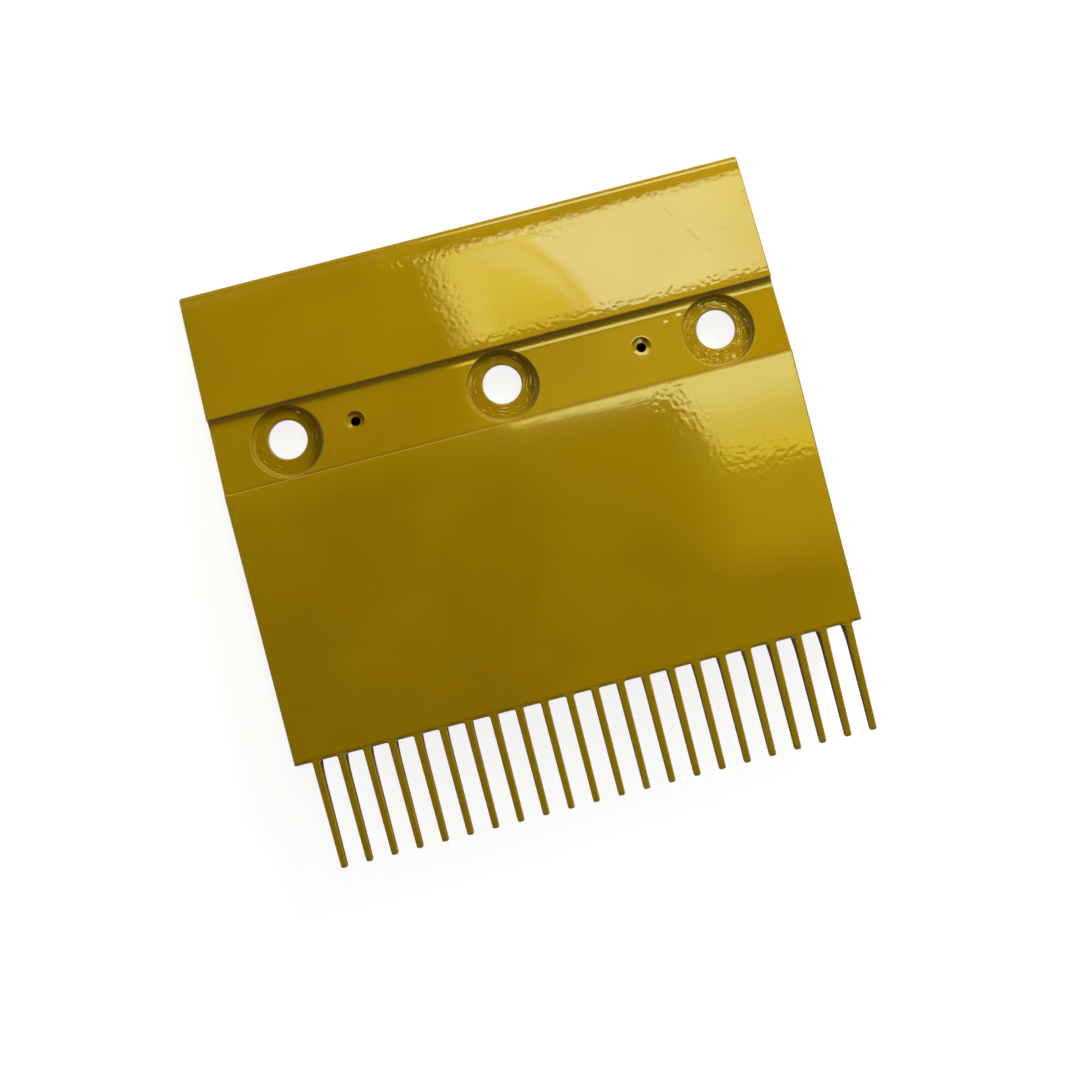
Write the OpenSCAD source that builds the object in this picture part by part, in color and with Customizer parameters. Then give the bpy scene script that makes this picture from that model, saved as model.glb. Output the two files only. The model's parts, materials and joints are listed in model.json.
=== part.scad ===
// Escalator comb plate: one die-cast segment with a toothed front edge.
// X runs across the escalator, Y points to the rear deck, Z stands square to the ramp.
// The origin is on the middle fixing hole, in the plane of the underside seat.

/* [Comb] */
// Number of teeth
tooth_count = 22; // [20:1:24]
// Distance from one tooth to the next
tooth_pitch = 9.068; // [8.6:0.001:9.4]
// Width of a tooth at its root
tooth_root_w = 2.7; // [2:0.05:3.4]
// Width of a tooth at its tip
tooth_tip_w = 2.4; // [1.8:0.05:3]
// Reach of the teeth in front of the ramp
tooth_len = 38.7; // [30:0.1:45]
// Angle by which the top of a tooth falls below the ramp
tooth_fall = 5; // [2:0.1:6]
// Depth of a tooth's underside below the ramp
prong_depth = 6.6; // [6:0.1:8]
// Depth of the blade below the ramp at the tooth root
root_depth = 15; // [12:0.1:18]
// Length of the blade under the ramp
blade_run = 30; // [20:0.5:45]
// Rounding of the nose, seen from the side
nose_r = 1.2; // [0.5:0.05:1.3]
// Rounding of the tip's corners, seen from above
tip_corner_r = 0.7; // [0.3:0.05:0.85]
// Fillet between a tooth and the ramp's front face
root_fillet = 0.6; // [0.3:0.05:1]
// Rounding of the blade's lower rear corner
heel_r = 3; // [1:0.1:4]

/* [Plate] */
// Distance from the left side to the middle of the first tooth
left_margin = 7.55; // [4.5:0.05:12]
// Distance from the middle of the last tooth to the right side
right_margin = 5.02; // [4.5:0.05:12]
// Length of the ramp
ramp_len = 96.8; // [80:0.1:115]
// Thickness of the ramp over the blades and stiffeners
skin_t = 5; // [3.5:0.1:5.8]
// Rounding of the ramp's front edge between the teeth
front_edge_r = 0.8; // [0.3:0.05:1.5]
// Radius of the plate's corners, seen from above
corner_r = 1; // [0.5:0.1:2.5]

/* [Fastening channel] */
// Height of the channel floor above the seat at the line of the fixing holes
floor_h = 12.35; // [11.5:0.05:15]
// Angle by which the channel and the deck fall away from the ramp, level with the steps
deck_angle = 11.5; // [8:0.1:12.5]
// Distance from the line of the fixing holes to the ramp
channel_front = 14; // [13.8:0.1:18]
// Distance from the line of the fixing holes to the foot of the riser
channel_rear = 12.3; // [12.1:0.1:18]
// Height of the ramp's edge above the channel floor
ramp_step = 1.1; // [0.6:0.1:2]
// Rounding of the ramp's edge along the channel
ramp_edge_r = 1; // [0.3:0.05:1.5]

/* [Rear deck] */
// Height of the riser between the channel floor and the deck
riser_h = 2.75; // [2.4:0.05:4]
// Fillet at the foot of the riser
riser_fillet = 2.1; // [1:0.1:2.3]
// Rounding of the deck's front edge
deck_edge_r = 0.5; // [0.2:0.05:1]
// Length of the deck, along its slope
deck_len = 46; // [38:0.1:48]
// Width of the roll-off along the deck's back edge
roll_len = 5; // [3:0.1:8]
// Extra fall of the roll-off at the back edge
roll_angle = 6; // [2:0.5:8]
// Rounding of the back edge
back_edge_r = 0.9; // [0.4:0.05:1.2]

/* [Fixing holes] */
// Distance from one fixing hole to the next
hole_pitch = 77.4; // [72:0.1:78]
// Diameter of the through holes
hole_d = 13.6; // [11:0.1:14.8]
// Diameter of the counterbores
counterbore_d = 25.4; // [22:0.1:25.6]
// Depth of a counterbore below the channel floor, at the hole's axis
counterbore_depth = 4.25; // [3:0.05:5.4]
// Distance by which a counterbore stands nearer the teeth than its hole
counterbore_forward = 0.9; // [0.7:0.05:1]
// Fillet at the foot of a counterbore's wall
counterbore_fillet = 2.4; // [0.5:0.1:2.8]
// Bevel at the top of a through hole
hole_bevel = 0.7; // [0.3:0.05:1]
// Thickness of the metal between a counterbore and the relief below it
web_t = 3; // [2.5:0.1:4.5]
// Diameter of the relief round a through hole, on the underside
relief_d = 16.4; // [15.2:0.1:18]

/* [Tapped holes] */
// Distance between the two tapped holes
tapped_pitch = 102.8; // [98:0.1:112]
// Distance of the tapped holes behind the line of the fixing holes
tapped_back = 0.3; // [0:0.1:2.5]
// Diameter of the shallow recess around a tapped hole
recess_d = 6.6; // [5.5:0.1:8]
// Depth of the recess
recess_depth = 1.4; // [0.6:0.1:2]
// Diameter of the tapped hole
tapped_d = 3.5; // [3:0.1:4.5]
// Depth of the tapped hole below the channel floor
tapped_depth = 8; // [6:0.1:9]

/* [Underside] */
// Thickness of the side walls and the cross wall
wall_t = 4; // [2.5:0.1:6]
// Number of stiffeners under the ramp
stiffener_count = 5; // [3:1:7]
// Thickness of a stiffener
stiffener_t = 3.5; // [2:0.1:5]

/* [Hidden] */
$fn = 64;
eps = 0.01;
over = 5;
arc_steps = 10;
paint = [0.62, 0.49, 0.03];
cast_paint = [0.52, 0.41, 0.03];

comb_w = (tooth_count - 1) * tooth_pitch;
first_x = -comb_w / 2;
left_x = first_x - left_margin;
right_x = comb_w / 2 + right_margin;
middle_x = (left_x + right_x) / 2;
plate_w = right_x - left_x;

// Directions of the deck and channel surfaces in the Y-Z plane
along = [cos(deck_angle), -sin(deck_angle)];
upright = [sin(deck_angle), cos(deck_angle)];

function floor_z(y) = floor_h - y * tan(deck_angle);
function deck_z(y) = floor_z(y) + riser_h / cos(deck_angle);
function arc(c, r, from, to) =
    [for (i = [0:arc_steps]) c + r * [cos(from + (to - from) * i / arc_steps),
                                      sin(from + (to - from) * i / arc_steps)]];
function tooth_x(i) = first_x + i * tooth_pitch;
function two_digits(n) = n < 10 ? str("0", n) : str(n);
function tooth_name(i) = str("tooth_", two_digits(i + 1));
function stiffener_name(i) = str("stiffener_", i + 1);

ramp_z = floor_z(-channel_front) + ramp_step;
ramp_rear_y = -channel_front;
ramp_front_y = ramp_rear_y - ramp_len;
tip_y = ramp_front_y - tooth_len;
skin_z = ramp_z - skin_t;
blade_end_y = ramp_front_y + blade_run;
wall_end_y = blade_end_y + wall_t;

riser_foot = [channel_rear, floor_z(channel_rear)];
riser_top = riser_foot + riser_h * upright;
deck_start_y = riser_top[0] + deck_edge_r * cos(deck_angle);
back_y = riser_top[0] + deck_len * cos(deck_angle);

fixing_x = [-hole_pitch, 0, hole_pitch];
tapped_x = [middle_x - tapped_pitch / 2, middle_x + tapped_pitch / 2];
counterbore_z = floor_h - counterbore_depth;

tooth_names = [for (i = [0:tooth_count - 1]) tooth_name(i)];
stiffener_names = [for (i = [0:stiffener_count - 1]) stiffener_name(i)];

// A profile drawn in Y and Z, drawn out from x0 to x1
module along_x(x0, x1) {
    translate([x0, 0, 0]) rotate([90, 0, 90]) linear_extrude(x1 - x0) children();
}

// The plate seen from above, with its four rounded corners, as a tall block
module plate_block() {
    r = corner_r;
    translate([0, 0, -over]) linear_extrude(ramp_z + 2 * over) {
        translate([left_x + r, ramp_front_y]) square([plate_w - 2 * r, back_y - ramp_front_y]);
        translate([left_x, ramp_front_y + r]) square([plate_w, back_y - ramp_front_y - 2 * r]);
        for (x = [left_x + r, right_x - r], y = [ramp_front_y + r, back_y - r])
            translate([x, y]) circle(r);
    }
}

// What is cut away to round the ramp's front edge from x0 to x1
module front_edge_cut(x0, x1) {
    r = front_edge_r;
    along_x(x0, x1) difference() {
        translate([ramp_front_y - eps, ramp_z - r]) square([r + eps, r + eps]);
        translate([ramp_front_y + r, ramp_z - r]) circle(r);
    }
}

// The ramp: a skin with a rounded rear edge, and a front edge rounded between the teeth
module front_ramp() {
    edge = min(ramp_edge_r, ramp_step);
    half = tooth_root_w / 2 + root_fillet;
    color(paint) intersection() {
        difference() {
            along_x(left_x, right_x) polygon(concat(
                [[ramp_front_y, skin_z], [ramp_rear_y, skin_z]],
                arc([ramp_rear_y - edge, ramp_z - edge], edge, 0, 90),
                [[ramp_front_y, ramp_z]]));
            front_edge_cut(left_x - eps, tooth_x(0) - half);
            for (i = [0:tooth_count - 2]) front_edge_cut(tooth_x(i) + half, tooth_x(i + 1) - half);
            front_edge_cut(tooth_x(tooth_count - 1) + half, right_x + eps);
        }
        plate_block();
    }
}

// A through hole square to the seat, with its filleted counterbore and the relief from below
module fixing_hole_cut() {
    rb = hole_d / 2;
    rc = counterbore_d / 2;
    f = counterbore_fillet;
    b = hole_bevel;
    translate([0, 0, -eps]) cylinder(d = hole_d, h = floor_h);
    translate([0, 0, -eps]) cylinder(d = relief_d, h = counterbore_z - web_t + eps);
    translate([0, 0, counterbore_z - b]) cylinder(r1 = rb, r2 = rb + b + eps, h = b + eps);
    translate([0, -counterbore_forward, 0]) rotate_extrude() {
        translate([0, counterbore_z]) square([rc - f, floor_h + over]);
        translate([0, counterbore_z + f]) square([rc, floor_h + over]);
        translate([rc - f, counterbore_z + f]) circle(f);
    }
}

// A blind tapped hole in its recess, square to the channel floor
module tapped_hole_cut() {
    rotate([-deck_angle, 0, 0]) {
        translate([0, 0, -tapped_depth]) cylinder(d = tapped_d, h = tapped_depth + over);
        translate([0, 0, -recess_depth]) cylinder(d = recess_d, h = recess_depth + over);
    }
}

// The channel: a solid bar between seat and floor, with the riser up to the deck
module fastening_channel() {
    foot_c = riser_foot + riser_fillet * (upright - along);
    edge_c = riser_top + deck_edge_r * (along - upright);
    color(paint) difference() {
        along_x(left_x, right_x) polygon(concat(
            [[ramp_rear_y, 0], [ramp_rear_y, floor_z(ramp_rear_y)]],
            arc(foot_c, riser_fillet, -90 - deck_angle, -deck_angle),
            arc(edge_c, deck_edge_r, 180 - deck_angle, 90 - deck_angle),
            [[deck_start_y, 0]]));
        for (x = fixing_x) translate([x, 0, 0]) fixing_hole_cut();
        for (x = tapped_x) translate([x, tapped_back, floor_z(tapped_back)]) tapped_hole_cut();
    }
}

// The deck: a wedge whose top rolls off to a rounded back edge
module rear_deck() {
    end_angle = deck_angle + roll_angle;
    roll_y = back_y - roll_len;
    end_y = back_y - back_edge_r * (1 - sin(end_angle));
    bend = (tan(end_angle) - tan(deck_angle)) / (2 * (end_y - roll_y));
    end_z = deck_z(end_y) - bend * pow(end_y - roll_y, 2);
    edge_c = [end_y, end_z] - back_edge_r * [sin(end_angle), cos(end_angle)];
    roll = [for (i = [0:arc_steps - 1]) let (y = roll_y + (end_y - roll_y) * i / arc_steps)
            [y, deck_z(y) - bend * pow(y - roll_y, 2)]];
    color(paint) intersection() {
        along_x(left_x, right_x) polygon(concat(
            [[deck_start_y, 0], [deck_start_y, deck_z(deck_start_y)]],
            roll,
            arc(edge_c, back_edge_r, 90 - end_angle, 0),
            [[back_y, 0]]));
        plate_block();
    }
}

// The wall behind the blades, across the whole plate
module cross_wall() {
    color(cast_paint) translate([left_x, blade_end_y, 0]) cube([plate_w, wall_t, skin_z]);
}

// A wall under one side of the ramp, from the cross wall to the channel
module side_wall(x) {
    color(cast_paint) translate([x, wall_end_y, 0]) cube([wall_t, ramp_rear_y - wall_end_y, skin_z]);
}
module left_wall() { side_wall(left_x); }
module right_wall() { side_wall(right_x - wall_t); }

// One of the stiffeners that share out the width under the ramp
module stiffener(i) {
    step = plate_w / (stiffener_count + 1);
    color(cast_paint) translate([left_x + (i + 1) * step - stiffener_t / 2, wall_end_y, 0])
        cube([stiffener_t, ramp_rear_y - wall_end_y, skin_z]);
}

// Side view of a tooth and of the blade that carries it under the ramp.
// The throat is a quarter circle, and the blade's lower edge is level with the steps.
module blade_side() {
    under_z = ramp_z - prong_depth;
    throat_r = root_depth - prong_depth;
    nose_top_z = ramp_z - (tooth_len - nose_r) * tan(tooth_fall);
    heel_y = blade_end_y - heel_r;
    heel_z = ramp_z - root_depth - (heel_y - ramp_front_y) * tan(deck_angle);
    polygon(concat(
        [[ramp_front_y, ramp_z]],
        arc([tip_y + nose_r, nose_top_z - nose_r], nose_r, 90 + tooth_fall, 180),
        arc([tip_y + nose_r, under_z + nose_r], nose_r, 180, 270),
        arc([ramp_front_y - throat_r, under_z - throat_r], throat_r, 90, 0),
        arc([heel_y, heel_z + heel_r], heel_r, 270 - deck_angle, 360),
        [[blade_end_y, skin_z], [ramp_front_y, skin_z]]));
}

// The same blade seen from above: even under the ramp, then tapered to a rounded tip
module blade_plan() {
    root = tooth_root_w / 2;
    tip = tooth_tip_w / 2;
    c = tip_corner_r;
    polygon(concat(
        [[-root, blade_end_y], [-root, ramp_front_y]],
        arc([-tip + c, tip_y + c], c, 180, 270),
        arc([tip - c, tip_y + c], c, 270, 360),
        [[root, ramp_front_y], [root, blade_end_y]]));
}

// The two small fillets between a tooth and the front face of the ramp
module root_fillets() {
    r = root_fillet;
    half = tooth_root_w / 2;
    for (side = [0, 1]) mirror([side, 0, 0])
        translate([half, ramp_front_y, skin_z]) linear_extrude(skin_t) difference() {
            translate([-eps, -r]) square([r + eps, r]);
            translate([r, -r]) circle(r);
        }
}

// One tooth with its blade
module tooth(i) {
    color(paint) translate([tooth_x(i), 0, 0]) {
        intersection() {
            along_x(-tooth_root_w, tooth_root_w) blade_side();
            translate([0, 0, -3 * over]) linear_extrude(ramp_z + 4 * over) blade_plan();
        }
        root_fillets();
    }
}

front_ramp();
fastening_channel();
rear_deck();
cross_wall();
left_wall();
right_wall();
for (i = [0:stiffener_count - 1]) stiffener(i);
for (i = [0:tooth_count - 1]) tooth(i);
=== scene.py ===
# %% [markdown]
# An escalator comb plate
#
# The real part is one aluminium casting with a thick coat of yellow powder paint. People step over it where
# the moving steps slide under the landing. Its CAD solids are loaded first and stay where they are. Then each
# surface that can be seen is modelled again with the soft edges that paint leaves, finished with procedural
# paint, and lit.

# %% Load the frame
import json
import math

import bpy
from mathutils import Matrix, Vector


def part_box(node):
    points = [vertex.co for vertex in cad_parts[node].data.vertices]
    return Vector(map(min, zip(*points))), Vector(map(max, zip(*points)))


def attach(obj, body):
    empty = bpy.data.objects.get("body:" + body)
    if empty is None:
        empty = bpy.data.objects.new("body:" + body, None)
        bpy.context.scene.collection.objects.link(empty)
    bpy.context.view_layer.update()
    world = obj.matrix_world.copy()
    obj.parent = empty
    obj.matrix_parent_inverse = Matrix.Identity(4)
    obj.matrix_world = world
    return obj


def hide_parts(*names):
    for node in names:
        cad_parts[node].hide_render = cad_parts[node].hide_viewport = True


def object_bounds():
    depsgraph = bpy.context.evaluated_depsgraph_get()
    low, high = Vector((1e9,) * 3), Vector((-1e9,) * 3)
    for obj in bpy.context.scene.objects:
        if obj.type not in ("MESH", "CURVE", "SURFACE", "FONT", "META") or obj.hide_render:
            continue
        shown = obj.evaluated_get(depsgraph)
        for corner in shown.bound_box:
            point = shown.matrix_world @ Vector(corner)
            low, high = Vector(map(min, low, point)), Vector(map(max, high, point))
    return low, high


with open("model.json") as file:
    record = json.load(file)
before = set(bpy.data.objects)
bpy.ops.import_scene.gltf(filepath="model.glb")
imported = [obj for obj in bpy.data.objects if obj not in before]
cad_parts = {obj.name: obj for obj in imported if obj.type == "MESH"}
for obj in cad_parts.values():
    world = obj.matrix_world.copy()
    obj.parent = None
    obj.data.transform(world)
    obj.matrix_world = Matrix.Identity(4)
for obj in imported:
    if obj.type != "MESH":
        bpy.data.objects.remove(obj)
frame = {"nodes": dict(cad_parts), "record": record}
cad_low, cad_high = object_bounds()
MM = 0.001
print("CAD box in mm:", [round(v / MM, 1) for v in cad_low], [round(v / MM, 1) for v in cad_high])

# %% [markdown]
# Every later size comes from the frame: the boxes of the CAD nodes and the mounts of the record. Only the
# softness of the paint and other small forms, which the record doesn't hold, are written here. Lengths are in
# millimetres times MM, because Blender works in metres.

# %% Sizes
ramp_low, ramp_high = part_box("front_ramp")
channel_low, channel_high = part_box("fastening_channel")
deck_low, deck_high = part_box("rear_deck")
mounts = {mount["name"]: mount for mount in frame["record"]["mounts"]}
mount_at = {name: Vector(mount["pos_m"]) for name, mount in mounts.items()}

left_x, right_x = ramp_low.x, ramp_high.x
skin_z, ramp_z = ramp_low.z, ramp_high.z
front_y, middle_y, back_y = ramp_low.y, ramp_high.y, deck_high.y
deck_y = deck_low.y

tapped_axis = Vector(mounts["left_tapped_hole"]["axis"])
slope = math.atan2(tapped_axis.y, tapped_axis.z)
fall = math.tan(slope)
up_slope = Vector((0, math.sin(slope), math.cos(slope)))


def on_slope(point_y, point_z, y):
    """Height at y of the plane that falls through the given point."""
    return point_z - (y - point_y) * fall


print("the channel and the deck fall by", round(math.degrees(slope), 2), "degrees")

# %% [markdown]
# Modelling by hand means choosing faces or edges and then running an operator on them. With no mouse, they are
# chosen by a test on their place. These helpers choose, and the operators of Blender do the shaping. An edge
# that lies flat in a face is never worth rounding, so edges can also be chosen by how much they fold.


# %% Helpers that choose
HAIR, TINY, SLACK = 0.01 * MM, 0.02 * MM, 0.1 * MM


def near(a, b, reach=TINY):
    return abs(a - b) < reach


def clear_selection():
    if bpy.context.object and bpy.context.object.mode == "EDIT":
        bpy.ops.object.mode_set(mode="OBJECT")
    bpy.ops.object.select_all(action="DESELECT")


def work_on(piece):
    clear_selection()
    piece.select_set(True)
    bpy.context.view_layer.objects.active = piece


def folds(mesh):
    """The angle between the two faces at each edge."""
    normals = {}
    for face in mesh.polygons:
        for key in face.edge_keys:
            normals.setdefault(key, []).append(face.normal.copy())
    return {key: pair[0].angle(pair[1], 0) for key, pair in normals.items() if len(pair) == 2}


def choose(piece, part, test, fold=0):
    """Selects the vertices, edges or faces that pass the test, and leaves the piece in edit mode."""
    work_on(piece)
    mesh = piece.data
    groups = {"VERT": mesh.vertices, "EDGE": mesh.edges, "FACE": mesh.polygons}
    for group in groups.values():
        group.foreach_set("select", [False] * len(group))
    place = [vertex.co.copy() for vertex in mesh.vertices]
    angle = folds(mesh) if fold else {}
    for item in groups[part]:
        if part == "VERT":
            item.select = test(item.co)
        elif part == "EDGE":
            a, b = item.vertices
            item.select = test(place[a], place[b]) and (not fold or angle.get(item.key, 0) > fold)
        else:
            item.select = test(item.center, item.normal)
    chosen = sum(item.select for item in groups[part])
    bpy.ops.object.mode_set(mode="EDIT")
    bpy.ops.mesh.select_mode(type=part)
    return chosen


def done():
    """Leaves edit mode, which writes the change to the mesh."""
    bpy.ops.object.mode_set(mode="OBJECT")


def at(y, z=None):
    """A test on a point: it lies in this row and, where one is given, at this height."""
    return lambda co: near(co.y, y) and (z is None or near(co.z, z))


def both(test):
    """Turns a test on a point into a test on an edge."""
    return lambda a, b: test(a) and test(b)


# %% [markdown]
# The next helpers each wrap one operator: start a block, round edges, cut by a plane, move corners, add or
# subtract a tool, and shade. Shading is smooth only across edges that fold by less than about 35 degrees, and
# the normals are weighted by face size, so that a large face stays flat up to the start of its rounded edge.


# %% Helpers that shape
def settle():
    """Moves the object's place into its mesh, so that the object itself sits at the origin."""
    bpy.ops.object.transform_apply(location=True, rotation=True, scale=True)


def start_piece(name):
    """Names the primitive that was just added."""
    piece = bpy.context.object
    piece.name = piece.data.name = name
    settle()
    return piece


def block(name, low, high):
    clear_selection()
    low, high = Vector(low), Vector(high)
    bpy.ops.mesh.primitive_cube_add(size=1, location=(low + high) / 2, scale=high - low)
    return start_piece(name)


def bevel(piece, width, steps, test, fold=0):
    """Rounds the edges that pass the test."""
    count = choose(piece, "EDGE", test, fold)
    if count:
        bpy.ops.mesh.bevel(offset=width, offset_type="OFFSET", segments=steps, profile=0.5,
                           affect="EDGES", clamp_overlap=False)
    done()
    return count


def cut(piece, point, normal, clear_outer=False, fill=False):
    """Cuts the whole piece by a plane."""
    choose(piece, "VERT", lambda co: True)
    bpy.ops.mesh.bisect(plane_co=point, plane_no=normal, use_fill=fill,
                        clear_outer=clear_outer, threshold=0.001 * MM)
    done()


def move(piece, offset, test):
    """Moves the vertices that pass the test."""
    choose(piece, "VERT", test)
    bpy.ops.transform.translate(value=offset)
    done()


def widen(piece, factor, centre, test):
    """Scales the vertices that pass the test about a centre."""
    choose(piece, "VERT", test)
    bpy.ops.transform.resize(value=factor, center_override=centre)
    done()


def extrude(offset):
    """Extrudes what is chosen."""
    bpy.ops.mesh.extrude_region_move(TRANSFORM_OT_translate={"value": offset})


def push_out(piece, offset, test):
    """Extrudes the faces that pass the test."""
    choose(piece, "FACE", test)
    extrude(offset)
    done()


def join_side_faces(piece):
    """Takes out the upright lines that cuts left in the two sides, so that a bevel can run past them."""
    rows = [vertex.co.y for vertex in piece.data.vertices]
    in_side = lambda co: near(co.x, left_x) or near(co.x, right_x)
    upright = lambda a, b: near(a.x, b.x) and near(a.y, b.y)
    at_end = lambda co: near(co.y, min(rows)) or near(co.y, max(rows))
    choose(piece, "EDGE", lambda a, b: upright(a, b) and in_side(a) and not at_end(a))
    bpy.ops.mesh.dissolve_edges(use_verts=False)
    done()


def keep_sharp(piece, test):
    """Marks the edges that pass the test, so that they aren't shaded smoothly."""
    count = choose(piece, "EDGE", test)
    bpy.ops.mesh.mark_sharp()
    done()
    return count


def combine(piece, tool, operation):
    """Adds or subtracts the tool, takes it away and merges doubled points."""
    work_on(piece)
    modifier = piece.modifiers.new("combine", "BOOLEAN")
    modifier.operation = operation
    modifier.solver = "EXACT"
    modifier.object = tool
    bpy.ops.object.modifier_apply(modifier=modifier.name)
    bpy.data.objects.remove(tool)
    choose(piece, "VERT", lambda co: True)
    bpy.ops.mesh.remove_doubles(threshold=0.002 * MM)
    done()


def smooth(piece, angle=35):
    """Shades rounded edges smoothly and keeps large faces flat."""
    work_on(piece)
    bpy.ops.object.shade_smooth_by_angle(angle=math.radians(angle))
    modifier = piece.modifiers.new("flat faces stay flat", "WEIGHTED_NORMAL")
    modifier.keep_sharp = True
    modifier.weight = 100
    bpy.ops.object.modifier_apply(modifier=modifier.name)
    print(piece.name, "has", len(piece.data.polygons), "faces")


# %% [markdown]
# The ramp is a flat skin. Paint gathers on its outline, so a sharp block would look wrong: all its upper edges
# are rounded in one bevel, after its two front corners.

# %% Ramp
EDGE_R = 0.65 * MM
CORNER_R = 1.0 * MM

ramp = block("ramp_top", ramp_low, ramp_high)
bevel(ramp, CORNER_R, 6, lambda a, b: near(a.y, front_y) and near(b.y, front_y) and near(a.x, b.x))
bevel(ramp, EDGE_R, 5, both(lambda co: near(co.z, ramp_z)))
smooth(ramp)

# %% [markdown]
# The deck is a wedge that falls to the rear like the channel. Its last strip rolls down a little further, and
# its rear edge is round. Paint that flows to an edge piles up there: a narrow strip before the edge lies level
# with the deck again and shines as a thin line. Each of these is a cut across the block whose corners are then
# moved down. The cuts leave upright lines in the two sides, and a bevel that runs along the top would follow
# them down, so they are taken out. Then the two rear corners get a small round, and last the sides, the corners
# and the rear edge are rounded in one bevel, so that it closes.

# %% Deck
ROLL_LEN = 5.2 * MM
ROLL_ANGLE = math.radians(6)
BEAD_START, BEAD_END = 1.95 * MM, 1.25 * MM
BEAD_ANGLE = math.radians(0.4)
ROLL_SOFT = 3.2 * MM
SIDE_R = 0.45 * MM
SIDE_FOOT_Z = 2 * MM
deck_front_z = deck_high.z
roll_y = back_y - ROLL_LEN
steps = [(roll_y, slope), (back_y - BEAD_START, slope + ROLL_ANGLE),
         (back_y - BEAD_END, slope + BEAD_ANGLE), (back_y, slope + ROLL_ANGLE)]

deck = block("deck_top", (left_x, deck_y, deck_low.z), (right_x, back_y, deck_front_z))
for y, angle in steps[:-1]:
    cut(deck, (0, y, 0), (0, 1, 0))
profile = {}
last_y, z = deck_y, deck_front_z
for y, angle in steps:
    z -= (y - last_y) * math.tan(angle)
    move(deck, (0, 0, z - deck_front_z), at(y, deck_front_z))
    profile[y] = z
    last_y = y
    print("deck height at", round(y / MM, 1), "is", round(z / MM, 2))
bevel(deck, ROLL_SOFT, 10, both(at(roll_y, profile[roll_y])))
join_side_faces(deck)
bevel(deck, CORNER_R, 6, lambda a, b: near(a.y, back_y) and near(b.y, back_y) and near(a.x, b.x))


def deck_outline(a, b):
    """Upper edges of the two sides, the rear corners and the back."""
    if min(a.z, b.z) < SIDE_FOOT_Z or (near(a.x, b.x) and near(a.y, b.y)):
        return False
    on_side = any(near(a.x, x) and near(b.x, x) for x in (left_x, right_x))
    in_corner = min(a.y, b.y) > back_y - CORNER_R - HAIR and not near(a.y, b.y)
    on_back = near(a.y, back_y) and near(b.y, back_y)
    return on_side or in_corner or on_back


bevel(deck, SIDE_R, 5, deck_outline)
bead_flank = lambda a, b: near(a.y, b.y) and a.z > SIDE_FOOT_Z / 2 and (
    near(a.y, back_y - BEAD_START) or near(a.y, back_y - BEAD_END))
print("edges of the bead kept sharp:", keep_sharp(deck, bead_flank))
smooth(deck)

# %% [markdown]
# The fastening channel is a bar with a sloping floor and a riser up to the deck. It starts as a block. The
# strip behind the riser is extruded up. In the photograph the light catches the floor 3 mm before the riser, so
# the floor starts to rise there by a few degrees, and only then comes the round foot. The lip is a small round,
# and the ends of the bar are rounded like the deck's sides.

# %% Bar of the channel
RISER_H = 2.75 * MM
RISER_FOOT_R = 1.85 * MM
SWEEP_LEN = 3.2 * MM
SWEEP_H = 0.32 * MM
LIP_R = 0.5 * MM
SWEEP_ROUND = 0.5 * MM
TRIM = 2 * MM
riser_y = deck_y - RISER_H * math.sin(slope) - LIP_R * math.cos(slope)
floor_front_z = channel_high.z


def floor_z(y):
    return on_slope(middle_y, floor_front_z, y)


foot = Vector((0, riser_y, floor_z(riser_y)))
lip = foot + up_slope * RISER_H
trim_y = deck_y + TRIM

channel = block("channel_bar", (left_x, middle_y, channel_low.z), (right_x, trim_y, floor_front_z))
move(channel, (0, 0, floor_z(trim_y) - floor_front_z), at(trim_y, floor_front_z))
cut(channel, foot, (0, 1, 0))
push_out(channel, up_slope * RISER_H, lambda centre, normal: normal.z > 0.5 and centre.y > riser_y)
cut(channel, (0, deck_y, 0), (0, 1, 0), clear_outer=True, fill=True)
sweep_y = riser_y - SWEEP_LEN
cut(channel, (0, sweep_y, 0), (0, 1, 0))
along = lambda place: lambda co: near(math.hypot(co.y - place.y, co.z - place.z), 0)
move(channel, up_slope * SWEEP_H, along(foot))
foot += up_slope * SWEEP_H
bevel(channel, SWEEP_ROUND, 4, both(at(sweep_y, floor_z(sweep_y))))
bevel(channel, RISER_FOOT_R, 8, both(along(foot)))
bevel(channel, LIP_R, 5, both(along(lip)))
on_top = lambda co: co.z > floor_z(co.y) - 0.05 * MM and (near(co.x, left_x) or near(co.x, right_x))
side_edge = lambda a, b: (on_top(a) and on_top(b) and near(a.x, b.x)
                          and max(a.y, b.y) > middle_y + SLACK)
print("side edges rounded:", bevel(channel, SIDE_R - TINY, 4, side_edge))
print("bar corners:", len(channel.data.vertices))

# %% [markdown]
# The photograph shows each through hole 0.9 mm nearer the deck than the rim of its counterbore. The seat of the
# washer fills the counterbore to its wall, so the wall stands upright round the rim's centre, and only the hole
# is off it. The tool is a cylinder with a little draft. Its foot is rounded, the hole gets a bevel, and a wider
# relief comes up from below.

# %% Counterbore tool
HOLE_STEPS = 96
FOOT_ROUND = 1.1 * MM
HOLE_BEVEL = 0.7 * MM
RELIEF_R = 8.2 * MM
RIM_ROUND = 0.35 * MM
DRAFT = math.radians(2)
TOOL_H = 12 * MM
TOOL_SPARE = 3 * MM


def across(co, centre):
    """Distance from the upright axis through the centre."""
    return math.hypot(co.x - centre.x, co.y - centre.y)


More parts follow.
